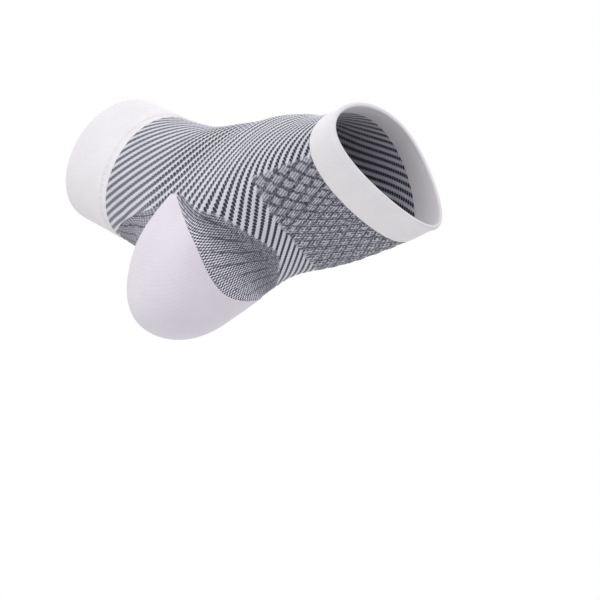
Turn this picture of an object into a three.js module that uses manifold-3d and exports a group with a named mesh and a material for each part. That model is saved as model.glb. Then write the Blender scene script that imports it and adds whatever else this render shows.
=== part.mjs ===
// Open-toe compression foot sleeve, in the form it keeps on a left foot with the toes pointed.
// Millimetres. The origin is the middle of the ankle, +X points to the toes,
// +Y to the little-toe side and +Z up, towards the top of the foot.
import * as THREE from 'three';
import Module from 'manifold-3d';

// Driving dimensions
const KNIT_WALL = 1.2; // the striped tube and the three grey panels
const HEEL_WALL = 1.5; // the heel pocket, knitted denser
const CUFF_WALL = 1.8; // the ankle welt, knitted double
const TOE_WALL = 1.6; // the toe welt
const SEAM_GAP = 0.3; // clear gap between neighbouring pieces
const CUFF_STRIP = 5; // single-layer strip below the ankle welt
const CUFF_HEIGHT = 30; // rim of the cuff to the first stripe
const TOE_WIDTH = 17; // toe welt, from the last stripe to its rim
const TOE_BEAD = 0.5; // how far the toe rim rolls out
const TOE_BEAD_WIDTH = 4;
const WELT_STEP = 1; // run of the step where a welt meets the single-layer knit
const RIM_ROUNDING = 0.8; // how much of a wall's half thickness its rounded rim loses
const RIM_FACETS = [0, 0.3, 0.9]; // distances from a rim at which its rounding is faceted
const CUTTER_MARGIN = 2; // how far a cutting wall stands clear of the wall it cuts

// Cross-sections of the outer surface, from the cuff's rim to the toe rim. Each is an oval between a
// front point (shin or instep) and a back point (calf or sole), with a half width to the inner side,
// where the big toe is, and to the outer side. low moves the widest place to the back, a pear of each
// side narrows its front, and shift and roll lean the section sideways.
const SECTION_COLUMNS = [
  'frontX', 'frontZ', 'backX', 'backZ', 'innerWidth', 'outerWidth',
  'low', 'innerPear', 'outerPear', 'shift', 'roll',
];
const SECTIONS = [
  [-19, 84, -80.5, 51.5, 34.5, 34.5, -0.06, 0.04, 0.04, -14.5, 13], // rim of the cuff
  [-2.5, 62.5, -60.5, 24, 33, 32, -0.05, 0.02, 0.02, -7.5, 11.5], // foot of the cuff
  [16.5, 44, -48, 1.5, 32.5, 33.5, -0.04, 0, 0, -2, 9.5], // narrowest place above the ankle
  [37, 32.5, -50.5, -19, 33, 34.5, -0.02, 0, 0.01, -0.5, 7], // ankle bones
  [48.5, 26.5, -55.5, -38.5, 33, 33.5, 0, 0, 0.03, -1, 5], // bend of the ankle to the back of the heel
  [56.5, 21.5, -44.5, -56, 34, 35.5, 0, 0.02, 0.13, -2, 3.5], // instep to the lower heel
  [64, 15, -20, -66.5, 35, 31, 0.02, 0.05, -0.06, -3, 3], // instep to the underside of the heel
  [71.5, 7, 13.5, -57.5, 36, 34, 0.06, 0.08, -0.07, -3.5, 2], // arch
  [83, -4.5, 43, -58.5, 37.5, 40, 0.09, 0.1, 0.05, -2.5, 1], // middle of the foot
  [96.5, -14.5, 71.5, -61, 38, 41, 0.1, 0.09, 0.12, -1.5, -1], // ball of the foot
  [108.5, -22, 93.5, -64, 38.5, 39.5, 0.11, 0.06, 0.2, -2, -3], // toe rim
];
const CUFF_FOOT_ROW = 1;
const TOE_BASE_ROW = 9.14;
const LAST_ROW = SECTIONS.length - 1;

// Edges of the knitted zones, as a row of the section table against an angle round the sleeve.
// The angle is 0 at the back and the sole, and counts the same way to both sides, except that the
// pad's rear edge crests at an angle to the inner side and falls by a parabola from there, and that the
// arch's front edge leans back towards the outer side.
const HEEL_CORNER = 87; // angle of the heel pocket's upper corners
const HEEL_REAR = { middleRow: 3.2, cornerRow: 4.22, bend: 1.6 };
const HEEL_FRONT = { middleRow: 6.57, cornerRow: 4.25, bend: 3.8, fullness: 1.53 };
const ARCH_FRONT = { middleRow: 7.97, cornerRow: 4.3, bend: 1.33, fullness: 2.35, lean: 0.67 };
const GORE_TOP = { middleRow: 1.15, cornerRow: 3.9, corner: 78, bend: 2 };
const PAD_REAR = { crestRow: 7.98, crest: 15, fall: 0.25, fallAngle: 50, corner: 66 };
const PAD_FRONT_CORNER = 60;
const WINDOW_OVERLAP = 0.15; // rows by which neighbouring windows run into each other
const CORNER_TRIM = 0.992; // share of a zone's angle that is kept where it narrows to a point

// Facets
const ROUND_STEPS = 36;
const TUBE_STEPS = 38;
const ZONE_STEPS = 22;

const WHITE_KNIT = { color: 0xeeeef2, roughness: 0.85, metalness: 0 };
const STRIPED_KNIT = { color: 0x9a9aa2, roughness: 0.88, metalness: 0 };
const GREY_KNIT = { color: 0x7f7f88, roughness: 0.9, metalness: 0 };

const wasm = await Module();
wasm.setup();

// A smooth curve through four evenly spaced values, between the second and the third.
function throughFour(a, b, c, d, t) {
  const slope = c - a;
  const curve = 2 * a - 5 * b + 4 * c - d;
  const twist = 3 * b - a - 3 * c + d;
  return b + 0.5 * t * (slope + t * (curve + t * twist));
}

function sectionRow(index) {
  if (index < 0) return SECTIONS[0].map((value, k) => 2 * value - SECTIONS[1][k]);
  if (index > LAST_ROW) return SECTIONS[LAST_ROW].map((value, k) => 2 * value - SECTIONS[LAST_ROW - 1][k]);
  return SECTIONS[index];
}

function sectionAt(row) {
  const first = Math.min(Math.max(Math.floor(row), 0), LAST_ROW - 1);
  const four = [first - 1, first, first + 1, first + 2].map(sectionRow);
  const values = SECTION_COLUMNS.map((name, k) => {
    return [name, throughFour(four[0][k], four[1][k], four[2][k], four[3][k], row - first)];
  });
  return Object.fromEntries(values);
}

// Outer surface of the knit at a row of the table and an angle from the back towards the inner side.
function skin(row, degrees) {
  const section = sectionAt(row);
  const angle = THREE.MathUtils.degToRad(degrees);
  const roll = THREE.MathUtils.degToRad(section.roll);
  const sine = Math.sin(angle);
  const cosine = Math.cos(angle);
  const depthX = section.frontX - section.backX;
  const depthZ = section.frontZ - section.backZ;
  const depth = Math.hypot(depthX, depthZ);
  const forward = (1 - cosine) / 2 - section.low * sine * sine;
  const halfWidth = sine >= 0 ? section.innerWidth : section.outerWidth;
  const pear = sine >= 0 ? section.innerPear : section.outerPear;
  const side = halfWidth * sine * (1 + pear * cosine);
  const lean = (side * Math.sin(roll)) / depth;
  return new THREE.Vector3(
    section.backX + depthX * forward + depthZ * lean,
    section.shift - side * Math.cos(roll),
    section.backZ + depthZ * forward - depthX * lean,
  );
}

// Directions along the sleeve, round it and out of it, at a place on the skin. The first two are
// the change in position for one row and for one degree.
function skinFrame(row, degrees) {
  const rowStep = 0.01;
  const angleStep = 0.5;
  const along = skin(row + rowStep, degrees).sub(skin(row - rowStep, degrees)).divideScalar(2 * rowStep);
  const round = skin(row, degrees + angleStep).sub(skin(row, degrees - angleStep)).divideScalar(2 * angleStep);
  const out = along.clone().cross(round).normalize();
  return { along, round, out };
}

function raised(row, degrees, height) {
  return skin(row, degrees).addScaledVector(skinFrame(row, degrees).out, height);
}

// Moves a zone's edge sideways on the skin by a distance in millimetres, towards higher rows when
// the distance is positive.
function movedEdge(edge, t, distance) {
  const step = 0.002;
  const [row, degrees] = edge(t);
  const before = edge(t - step);
  const after = edge(t + step);
  const { along, round, out } = skinFrame(row, degrees);
  const run = along.clone().multiplyScalar(after[0] - before[0]);
  run.addScaledVector(round, after[1] - before[1]);
  const across = run.cross(out).normalize().multiplyScalar(distance);
  const aa = along.dot(along);
  const ar = along.dot(round);
  const rr = round.dot(round);
  const scale = aa * rr - ar * ar;
  const rowMove = (across.dot(along) * rr - across.dot(round) * ar) / scale;
  const angleMove = (across.dot(round) * aa - across.dot(along) * ar) / scale;
  return [row + rowMove, degrees + angleMove];
}

// Index list of a closed wall: an outer and an inner grid of points and the strips that join their
// borders. A closed wall runs all the way round, so it has no end strips.
function wallIndex(roundSteps, acrossSteps, closed) {
  const columns = acrossSteps + 1;
  const rings = closed ? roundSteps : roundSteps + 1;
  const outer = (i, j) => (i % rings) * columns + j;
  const inner = (i, j) => rings * columns + outer(i, j);
  const index = [];
  const quad = (a, b, c, d) => index.push(a, b, c, a, c, d);
  for (let i = 0; i < roundSteps; i += 1) {
    for (let j = 0; j < acrossSteps; j += 1) {
      quad(outer(i, j), outer(i, j + 1), outer(i + 1, j + 1), outer(i + 1, j));
      quad(inner(i, j), inner(i + 1, j), inner(i + 1, j + 1), inner(i, j + 1));
    }
    quad(outer(i, 0), outer(i + 1, 0), inner(i + 1, 0), inner(i, 0));
    quad(outer(i + 1, acrossSteps), outer(i, acrossSteps), inner(i, acrossSteps), inner(i + 1, acrossSteps));
  }
  for (let j = 0; j < acrossSteps && !closed; j += 1) {
    quad(outer(0, j), inner(0, j), inner(0, j + 1), outer(0, j + 1));
    quad(outer(roundSteps, j + 1), inner(roundSteps, j + 1), inner(roundSteps, j), outer(roundSteps, j));
  }
  return index;
}

// A closed wall on the skin. place(i, j) gives the row and the angle of each grid point, and
// outside(j) and inside(j) the heights of the two faces.
function wall({ roundSteps, acrossSteps, closed, place, outside, inside }) {
  const rings = closed ? roundSteps : roundSteps + 1;
  const points = [];
  for (const height of [outside, inside]) {
    for (let i = 0; i < rings; i += 1) {
      for (let j = 0; j <= acrossSteps; j += 1) {
        const [row, degrees] = place(i, j);
        points.push(...raised(row, degrees, height(j)));
      }
    }
  }
  const geometry = new THREE.BufferGeometry();
  geometry.setAttribute('position', new THREE.Float32BufferAttribute(points, 3));
  geometry.setIndex(wallIndex(roundSteps, acrossSteps, closed));
  return geometry;
}

// A band that runs all the way round. stations holds, for each step along it, the distance from the
// start, and the heights of the two faces there.
function band(startRow, endRow, length, stations) {
  return wall({
    roundSteps: ROUND_STEPS,
    acrossSteps: stations.length - 1,
    closed: true,
    place: (i, j) => {
      const share = stations[j].at / length;
      return [startRow + (endRow - startRow) * share, (360 * i) / ROUND_STEPS];
    },
    outside: (j) => stations[j].outside,
    inside: (j) => stations[j].inside,
  });
}

// A zone between a low and a high edge, grown on all sides by a distance that may be negative.
// Each edge gives a row and an angle for a share of the zone's angle, from -1 to 1.
function zoneWall(zone, growth, outside, inside) {
  const halfLength = skin(...zone.low(0)).distanceTo(skin(...zone.low(1)));
  const reach = CORNER_TRIM + growth / halfLength;
  return wall({
    roundSteps: ZONE_STEPS,
    acrossSteps: zone.steps,
    closed: false,
    place: (i, j) => {
      const t = reach * Math.sin(Math.PI * (i / ZONE_STEPS - 0.5));
      const low = movedEdge(zone.low, t, -growth);
      const high = movedEdge(zone.high, t, growth);
      const share = j / zone.steps;
      return [low[0] + (high[0] - low[0]) * share, low[1] + (high[1] - low[1]) * share];
    },
    outside: () => outside,
    inside: () => inside,
  });
}

// An edge that leaves the middle at one row and bows to another at both corners.
function bowedRow({ middleRow, cornerRow, bend, fullness }, share) {
  const left = Math.max(1 - Math.abs(share) ** bend, 0);
  return cornerRow + (middleRow - cornerRow) * left ** (1 / fullness);
}

function heelRear(degrees) {
  const share = (Math.abs(degrees) / HEEL_CORNER) ** HEEL_REAR.bend;
  return HEEL_REAR.middleRow + (HEEL_REAR.cornerRow - HEEL_REAR.middleRow) * share;
}

const heelRearEdge = (t) => [heelRear(HEEL_CORNER * t), HEEL_CORNER * t];
const heelFrontEdge = (t) => [bowedRow(HEEL_FRONT, t), HEEL_CORNER * t];
const archFrontEdge = (t) => {
  const lean = (ARCH_FRONT.lean * (1 - t * t) * (1 - t)) / 2;
  return [bowedRow(ARCH_FRONT, t) - lean, HEEL_CORNER * t];
};
const goreTopEdge = (t) => {
  const rise = Math.abs(t) ** GORE_TOP.bend;
  return [GORE_TOP.middleRow + (GORE_TOP.cornerRow - GORE_TOP.middleRow) * rise, GORE_TOP.corner * t];
};
const goreFootEdge = (t) => [heelRear(GORE_TOP.corner * t), GORE_TOP.corner * t];
const padRearEdge = (t) => {
  const degrees = PAD_REAR.corner * t;
  const away = (degrees - PAD_REAR.crest) / PAD_REAR.fallAngle;
  return [PAD_REAR.crestRow - PAD_REAR.fall * away * away, degrees];
};
const padFrontEdge = (t) => [TOE_BASE_ROW, PAD_FRONT_CORNER * t];

const ZONES = {
  heel: { low: heelRearEdge, high: heelFrontEdge, steps: 9 },
  arch: { low: heelFrontEdge, high: archFrontEdge, steps: 4 },
  gore: { low: goreTopEdge, high: goreFootEdge, steps: 6 },
  pad: { low: padRearEdge, high: padFrontEdge, steps: 5 },
};

// The windows that the striped tube leaves for them. The heel and the arch share one, and the gore's
// and the pad's reach past the edge where they meet a neighbour.
const pastEdge = (edge) => (t) => [edge(t)[0] + WINDOW_OVERLAP, edge(t)[1]];
const WINDOWS = [
  { low: heelRearEdge, high: archFrontEdge, steps: 12 },
  { low: goreTopEdge, high: pastEdge(goreFootEdge), steps: 6 },
  { low: padRearEdge, high: pastEdge(padFrontEdge), steps: 5 },
];

// Half of a wall's thickness near a rounded rim, as a share of the full half.
function rimShare(distance, radius) {
  const left = Math.max(1 - distance / radius, 0);
  return Math.sqrt(1 - RIM_ROUNDING * left * left);
}

function rimStation(at, fromRim, outside, inside) {
  const middle = (outside + inside) / 2;
  const half = ((outside - inside) / 2) * rimShare(fromRim, (outside - inside) / 2);
  return { at, outside: middle + half, inside: middle - half };
}

// The ankle welt: a rounded rim, a double wall, a step at its foot and a short single-layer strip.
function ankleCuff() {
  const outside = CUFF_WALL - KNIT_WALL;
  const stepAt = CUFF_HEIGHT - CUFF_STRIP;
  const end = CUFF_HEIGHT - SEAM_GAP / 2;
  const places = [...RIM_FACETS, stepAt / 3, (2 * stepAt) / 3, stepAt];
  const double = places.map((at) => rimStation(at, at, outside, -KNIT_WALL));
  const single = [stepAt + WELT_STEP, end].map((at) => ({ at, outside: 0, inside: -KNIT_WALL }));
  return band(0, CUFF_FOOT_ROW, CUFF_HEIGHT, [...double, ...single]);
}

// The toe welt: a step up from the stripes, a double wall and a rim that rolls out in a low bead.
function toeBand() {
  const outside = TOE_WALL - KNIT_WALL;
  const start = { at: SEAM_GAP / 2, outside: 0, inside: -KNIT_WALL };
  const beadAt = TOE_WIDTH - TOE_BEAD_WIDTH;
  const rimFacets = RIM_FACETS.map((fromRim) => TOE_WIDTH - fromRim).reverse();
  const places = [WELT_STEP, beadAt / 3, (2 * beadAt) / 3, beadAt, TOE_WIDTH - TOE_BEAD_WIDTH / 2, ...rimFacets];
  const rest = places.map((at) => {
    const fromRim = TOE_WIDTH - at;
    const bead = TOE_BEAD * Math.max(Math.sin((Math.PI * fromRim) / TOE_BEAD_WIDTH), 0);
    return rimStation(at, fromRim, outside + bead, -KNIT_WALL);
  });
  return band(TOE_BASE_ROW, LAST_ROW, TOE_WIDTH, [start, ...rest]);
}

function solidOf(geometry) {
  const vertProperties = Float32Array.from(geometry.getAttribute('position').array);
  const triVerts = Uint32Array.from(geometry.getIndex().array);
  return new wasm.Manifold(new wasm.Mesh({ numProp: 3, vertProperties, triVerts }));
}

function geometryOf(solid) {
  const mesh = solid.getMesh();
  const geometry = new THREE.BufferGeometry();
  geometry.setAttribute('position', new THREE.Float32BufferAttribute(mesh.vertProperties, 3));
  geometry.setIndex(Array.from(mesh.triVerts));
  return geometry;
}

// The striped tube from cuff to toe welt, with a window for each of the other zones.
function stripedTube() {
  const firstRow = CUFF_FOOT_ROW;
  const rows = TOE_BASE_ROW - CUFF_FOOT_ROW;
  const tube = wall({
    roundSteps: ROUND_STEPS,
    acrossSteps: TUBE_STEPS,
    closed: true,
    place: (i, j) => {
      const degrees = (360 * i) / ROUND_STEPS;
      const row = firstRow + (rows * j) / TUBE_STEPS;
      const length = skinFrame(row, degrees).along.length();
      const inset = j === 0 ? SEAM_GAP / 2 : j === TUBE_STEPS ? -SEAM_GAP / 2 : 0;
      return [row + inset / length, degrees];
    },
    outside: () => 0,
    inside: () => -KNIT_WALL,
  });
  let solid = solidOf(tube);
  for (const window of WINDOWS) {
    const cutter = zoneWall(window, SEAM_GAP / 2, CUTTER_MARGIN, -KNIT_WALL - CUTTER_MARGIN);
    solid = solid.subtract(solidOf(cutter));
  }
  return geometryOf(solid);
}

function zonePanel(zone, thickness) {
  return zoneWall(zone, -SEAM_GAP / 2, thickness - KNIT_WALL, -KNIT_WALL);
}

function piece(name, geometry, finish) {
  geometry.computeVertexNormals();
  const mesh = new THREE.Mesh(geometry, new THREE.MeshStandardMaterial(finish));
  mesh.name = name;
  return mesh;
}

const footSleeve = new THREE.Group();
footSleeve.add(
  piece('ankle_cuff', ankleCuff(), WHITE_KNIT),
  piece('striped_tube', stripedTube(), STRIPED_KNIT),
  piece('achilles_gore', zonePanel(ZONES.gore, KNIT_WALL), GREY_KNIT),
  piece('heel_pocket', zonePanel(ZONES.heel, HEEL_WALL), WHITE_KNIT),
  piece('arch_panel', zonePanel(ZONES.arch, KNIT_WALL), GREY_KNIT),
  piece('forefoot_pad', zonePanel(ZONES.pad, KNIT_WALL), GREY_KNIT),
  piece('toe_band', toeBand(), WHITE_KNIT),
);

export default footSleeve;
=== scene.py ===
"""Looks of the open-toe compression foot sleeve: knitted pieces, materials, light and camera."""

import bpy
import numpy as np
from mathutils import Matrix, Vector


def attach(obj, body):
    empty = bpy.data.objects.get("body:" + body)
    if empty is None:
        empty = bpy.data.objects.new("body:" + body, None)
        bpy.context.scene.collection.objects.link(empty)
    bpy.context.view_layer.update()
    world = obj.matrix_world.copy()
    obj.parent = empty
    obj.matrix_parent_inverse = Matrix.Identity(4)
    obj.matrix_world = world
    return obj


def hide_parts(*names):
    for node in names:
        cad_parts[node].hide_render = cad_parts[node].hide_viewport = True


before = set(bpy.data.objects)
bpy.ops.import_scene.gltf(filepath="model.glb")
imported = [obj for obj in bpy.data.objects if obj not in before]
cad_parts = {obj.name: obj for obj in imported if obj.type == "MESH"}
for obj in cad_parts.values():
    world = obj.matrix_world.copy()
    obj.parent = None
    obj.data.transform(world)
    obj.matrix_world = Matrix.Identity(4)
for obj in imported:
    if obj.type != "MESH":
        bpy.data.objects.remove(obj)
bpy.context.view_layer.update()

# Sizes of the sleeve in millimetres, those of the solids apart from rounder steps and a rounder toe rim
KNIT_WALL = 1.2
HEEL_RISE = 0.3  # how far the heel pocket stands above the stripes' base
CUFF_RISE = 0.6
CUFF_STRIP = 5.0  # single-layer strip below the ankle welt
CUFF_HEIGHT = 30.0
TOE_RISE = 0.4
TOE_WIDTH = 17.0
TOE_BEAD = 0.5  # how far the toe rim rolls out
TOE_BEAD_WIDTH = 4.0
TOE_RIM_RISE = 0.2
WELT_STEP = 1.2  # run of the step where a welt meets the single-layer knit
SEAM_GAP = 0.3
MM = 0.001  # a millimetre in metres

# Cross-sections of the outer surface, from the cuff's rim to the toe rim. Each is an oval between a front
# point (shin or instep) and a back point (calf or sole), with a half width to the inner side, where the
# big toe is, and to the outer side. low moves the widest place to the back, a pear of each side narrows
# its front, and shift and roll lean the section sideways
SECTION_COLUMNS = (
    "front_x", "front_z", "back_x", "back_z", "inner_width", "outer_width",
    "low", "inner_pear", "outer_pear", "shift", "roll",
)
SECTIONS = np.array([
    [-19, 84, -80.5, 51.5, 34.5, 34.5, -0.06, 0.04, 0.04, -14.5, 13],  # rim of the cuff
    [-2.5, 62.5, -60.5, 24, 33, 32, -0.05, 0.02, 0.02, -7.5, 11.5],  # foot of the cuff
    [16.5, 44, -48, 1.5, 32.5, 33.5, -0.04, 0, 0, -2, 9.5],  # narrowest place above the ankle
    [37, 32.5, -50.5, -19, 33, 34.5, -0.02, 0, 0.01, -0.5, 7],  # ankle bones
    [48.5, 26.5, -55.5, -38.5, 33, 33.5, 0, 0, 0.03, -1, 5],  # bend of the ankle to the heel's back
    [56.5, 21.5, -44.5, -56, 34, 35.5, 0, 0.02, 0.13, -2, 3.5],  # instep to the lower heel
    [64, 15, -20, -66.5, 35, 31, 0.02, 0.05, -0.06, -3, 3],  # instep to the underside of the heel
    [71.5, 7, 13.5, -57.5, 36, 34, 0.06, 0.08, -0.07, -3.5, 2],  # arch
    [83, -4.5, 43, -58.5, 37.5, 40, 0.09, 0.1, 0.05, -2.5, 1],  # middle of the foot
    [96.5, -14.5, 71.5, -61, 38, 41, 0.1, 0.09, 0.12, -1.5, -1],  # ball of the foot
    [108.5, -22, 93.5, -64, 38.5, 39.5, 0.11, 0.06, 0.2, -2, -3],  # toe rim
])
CUFF_FOOT_ROW = 1.0
TOE_BASE_ROW = 9.14
LAST_ROW = float(len(SECTIONS) - 1)

# Edges of the knitted zones: a row of the section table against an angle, which is 0 at the back and the
# sole, positive on the inner side and negative on the outer side
HEEL_CORNER = 87.0  # angle of the heel pocket's upper corners
HEEL_REAR = {"middle": 3.2, "corner": 4.22, "bend": 1.6}
HEEL_FRONT = {"middle": 6.57, "corner": 4.25, "bend": 3.8, "fullness": 1.53}
ARCH_FRONT = {"middle": 7.97, "corner": 4.3, "bend": 1.33, "fullness": 2.35, "lean": 0.67}
GORE_TOP = {"middle": 1.15, "corner": 3.9, "bend": 2.0, "angle": 78.0}
PAD_REAR = {"crest": 7.98, "crest_angle": 15.0, "fall": 0.25, "fall_angle": 50.0, "angle": 66.0}
PAD_FRONT_ANGLE = 60.0

# Middle line of the sleeve, a bend between two straight lines, which the knit follows
LEG_SLOPE = np.radians(-53.0)
FOOT_SLOPE = np.radians(-16.5)
BEND_POINT = np.array([15.0, -18.0])  # x and z of the place where the two lines would cross
BEND_TANGENT = 40.0  # from that place to each end of the bend
SIDE_SHIFT = {"length": (-110, -60, -20, 20, 120), "sideways": (-14, -8, -1, -2, -2)}

# Stripes: how many there are round the tube, and how many are passed along its middle line. The cuff
# crowds them, and the heel pocket in the back lets those on the instep run ahead
STRIPES_ROUND = 48
STRIPES_AT_ANKLE = 9.0
STRIPES_PER_MM = 0.21
CUFF_CROWD = {"stripes": 2.7, "length": -8.0, "span": 44.0}
INSTEP_LEAD = {"stripes": 7.6, "length": 38.0, "span": 58.0}
SOLE_LEAD = 1.5
OUTER_LEAD = 1.9

# Courses of the striped knit: how many a turn climbs, and how many are passed along the middle line
COURSES_ROUND = 88
COURSES = {
    "length": (-45, 15, 35, 50, 65, 85, 120),
    "passed": (0, 15, 21.8, 27.8, 36.5, 47.5, 67.5),
}

ZONE_NAMES = ("striped_tube", "heel_pocket", "arch_panel", "achilles_gore", "forefoot_pad")
TUBE, HEEL, ARCH, GORE, PAD = range(len(ZONE_NAMES))
SLOTS = {
    "ankle_cuff": "white_welt", "striped_tube": "striped_knit", "achilles_gore": "sheer_grey_knit",
    "heel_pocket": "white_heel_knit", "arch_panel": "fine_grey_knit",
    "forefoot_pad": "basket_grey_knit", "toe_band": "white_welt",
}

# Two repeats of each panel's knit: how many there are in a turn and in a millimetre of the middle line
REPEATS = {
    HEEL: ({"turn": 205, "mm": 0}, {"turn": 0, "mm": 1.15}),
    ARCH: ({"turn": -212, "mm": 0.77}, {"turn": -210, "mm": -0.49}),
    GORE: ({"turn": -50, "mm": 0.055}, {"turn": 105, "mm": 0.17}),
    PAD: ({"turn": -40, "mm": 0.095}, {"turn": -32, "mm": -0.136}),
}
ARCH_LINE = {"first": -0.04, "second": 0.2}  # parts of the arch's two repeats in that of its dark lines
WELT_WALES = 240  # columns of loops round a welt
WELT_COURSE = 0.8  # millimetres from one row of a welt's loops to the next

# Mesh of the zones, in millimetres: blocks of the inner face, each split both ways on the outer face
BLOCK = 1.38  # length of a block along the sleeve
BLOCKS_ROUND = 180
SPLIT = 2
RIB_HEIGHT = 0.34  # white stripes above the dark lines
RIB_SINK = 0.1
CELL_HEIGHT = 0.5  # pad cells above the gaps between them
CELL_SINK = 0.15
LINE_DEPTH = 0.1  # grooves of the arch's and the gore's dark lines
LINE_SHARPNESS = 6.0
TIP_LENGTH = 1.6  # how far a white stripe's end runs into the panel beside it
TIP_SOFTNESS = 0.5
TIP_LAST_ANGLE = -45.0  # degrees, where the tips end towards the outer side
TIP_ANGLE_SPAN = 20.0
EDGE_PULL = 0.04  # part of the way to its faces' middles that a border is drawn in
EDGE_REACH = 1.0  # how many steps of the grid away a zone's edge is looked for
EDGE_SAMPLES = 41
BORDER_PASSES = 6
PINCH_PASSES = 4
SHARP_EDGE = 50.0  # degrees

# Mesh of the welts
WELT_DEGREES = 1.0
WELT_SPACING = 0.4
INNER_SPACING = 2.0
RIM_POINTS = 9

# The ridge at the welt's fold on the ankle cuff, with its small puckers
RIDGE_HEIGHT = 0.45
RIDGE_WIDTH = 0.8
RIDGE_OFFSET = 0.9
PUCKERS_ROUND = 58
PUCKER_SHARE = 0.45  # part of the ridge's height that comes and goes
PUCKER_DRIFT = 2.2
PUCKER_WAVES = 7

# Where the knit changes gradually: lengths and spans in millimetres, angles in degrees
TIGHT_UNTIL = 22.0
TIGHT_SPAN = 40.0
SOLE_ANGLE = 45.0
SOLE_SPAN = 30.0
SOLE_LENGTH = 35.0
FOOT_JOINED = 0.2  # how far the dark stitches run together on the foot
FOOT_START = 22.0
FOOT_SPAN = 30.0
THINNEST_ARCH = 0.05  # rows
PAD_CLEAR_ANGLE = 40.0
PAD_FADE_SPAN = 60.0

# Yarn and its colours
YARN_ROUGHNESS = 0.9
YARN_SPECULAR = 0.25
SHEEN_ROUGHNESS = 0.5
RIB_WHITE = (0.60, 0.597, 0.685, 1)
DOT_WHITE = (0.72, 0.71, 0.81, 1)
# RIB_SHADE is the painted shade between a rib's courses, and also the darker tone of the rib's random
# clouds
RIB_SHADE = (0.36, 0.36, 0.43, 1)
DARK_YARN = (0.024, 0.024, 0.038, 1)
THIN_YARN = (0.13, 0.13, 0.16, 1)
HEEL_WHITE = (0.665, 0.63, 0.69, 1)
HEEL_SHADE = (0.56, 0.525, 0.595, 1)
WELT_WHITE = (0.79, 0.765, 0.80, 1)
WELT_SHADE = (0.68, 0.655, 0.69, 1)
PALE_GREY = (0.51, 0.51, 0.59, 1)
GAP_GREY = (0.17, 0.17, 0.20, 1)
TICK_GREY = (0.11, 0.11, 0.14, 1)
ARCH_GREY = (0.355, 0.355, 0.435, 1)
SHEER_GREY = (0.38, 0.37, 0.43, 1)

# In the values below, a size is that of a noise's features in millimetres, an edge holds the two values
# between which one yarn gives way to the other, and a bump is the full height of the relief in millimetres

# Striped knit: half sizes of a dark stitch, as parts of a stripe and of a course
SINGLE_STITCH = {"width": 0.365, "length": 0.465}
JOINED_STITCH = {"width": 0.275, "length": 0.65}
FOOT_SLIMMING = 0.045  # how much narrower the stitches are on the foot
STITCH_EDGE = (1.3, 0.7)
STITCH_FRAY = {"size": 0.9, "strength": 0.3}
STITCH_DENT = 0.8
# painted shade in the joints between two courses of a white rib: how far the rib's white goes towards
# RIB_SHADE there
RIB_JOINT_SHADE = {"edge": (0.25, 0.5), "strength": 0.35}
RIB_CLOUD = {"size": 14.0, "edge": (-0.2, 0.3), "strength": 0.25}
LOOP_BULGE = 1.1
STRIPED_BUMP = 0.3

# Basket knit: clear cells on the inner side, an even mix on the outer side
CELL_WOBBLE = {"size": 3.0, "strength": 0.3}
CELL_FRAY = {"size": 1.4, "strength": 1.5}
CELL_EDGE = (-1.15, -0.2)
CELL_EVENED = {"level": 0.6, "strength": 0.25}
CELL_RIBS = {"per_cell": 4.5, "when_even": 0.2}
CELL_TICKS = {"per_cell": 3.0, "when_even": 0.8}
RIB_GRAIN = {"size": 1.1, "when_clear": 3.0, "when_even": 4.5}
RIB_EDGE = (-0.7, 0.7)
RIB_CONTRAST = 0.6  # of the ribs on clear cells
GAP_SPECKS = {"size": 0.7, "edge": (-0.12, 0.2)}
RIB_RELIEF = 0.5
BASKET_BUMP = 0.35

# Fine knit: dots by the heel, a fine mix further forwards, and long dark lines of separate stitches
DOT_CONTRAST = {"by_heel": 1.4, "forwards": 0.45}
DOT_FRAY = {"size": 0.9, "strength": 2.6}
DOT_EDGE = (-0.8, 0.6)
DOT_DARKNESS = 0.95
ARCH_LINE_WOBBLE = {"long": 5.0, "short": 1.3, "strength": 0.12}
ARCH_LINE_EDGE = (0.75, 0.98)
ARCH_LINE_START = {"size": 3.0, "edge": (0.0, 0.4), "strength": 0.95}
ARCH_LINE_END = (1.0, 0.7)
ARCH_STITCH = {"edge": (-0.9, 0.2), "weakest": 0.65}
ARCH_STITCH_FRAY = {"size": 1.0, "strength": 2.0}
FINE_BUMP = 0.2

# Sheer knit: a grid of fine ticks with jagged dark lines
GORE_WOBBLE = {"size": 1.6, "strength": 0.35}
GORE_LINE = {"edge": (0.7, 1.0), "strength": 0.95}
GORE_TICK = {"size": 1.0, "edge": (-0.1, 0.9), "strength": 0.75}
GORE_ROW = {"per_line": 4.0, "edge": (0.0, 0.9), "strength": 0.6}
SHEER_BUMP = 0.25

# Plain white knit: columns of slanted loops
LOOP_SLANT = 0.7
LOOP_SIDE_EDGE = (0.28, 0.5)
LOOP_END = {"edge": (0.3, 0.5), "strength": 0.6}
LOOP_PATCHES = {"size": 11.0, "edge": (-0.2, 0.25), "weakest": 0.4}
WHITE_CLOUD = {"size": 17.0, "edge": (-0.3, 0.3), "strength": 0.35}
CLOUD_DETAIL = 2.0

# The photograph's viewpoint: angles in degrees, distance in metres, and the pixel that shows the origin
AZIMUTH = 32.52
ELEVATION = -47.27
ROLL = -7.46
DISTANCE = 1.1
PIXELS_PER_MM = 2.01
FRAME_PIXELS = 600
ORIGIN_PIXEL = (221.0, 212.1)
SENSOR_WIDTH = 36
CLIP_END = 50

# Studio, in metres and watts. The key light's place is given by the camera's directions
KEY_PLACE = {"back": 1.0, "right": -0.6, "up": 1.1}
KEY_LIGHT = {"size": 0.9, "power": 8.0}
TOP_PLACE = (0.2, 0.3, 1.6)
TOP_LIGHT = {"size": 1.4, "power": 8.0}
WORLD_LIGHT = 1.0
FLOOR_HALF = 4.0
FLOOR_HEIGHT = -1.3
FLOOR_COLOUR = (0.8, 0.8, 0.8, 1)
FLOOR_ROUGHNESS = 0.8


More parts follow.
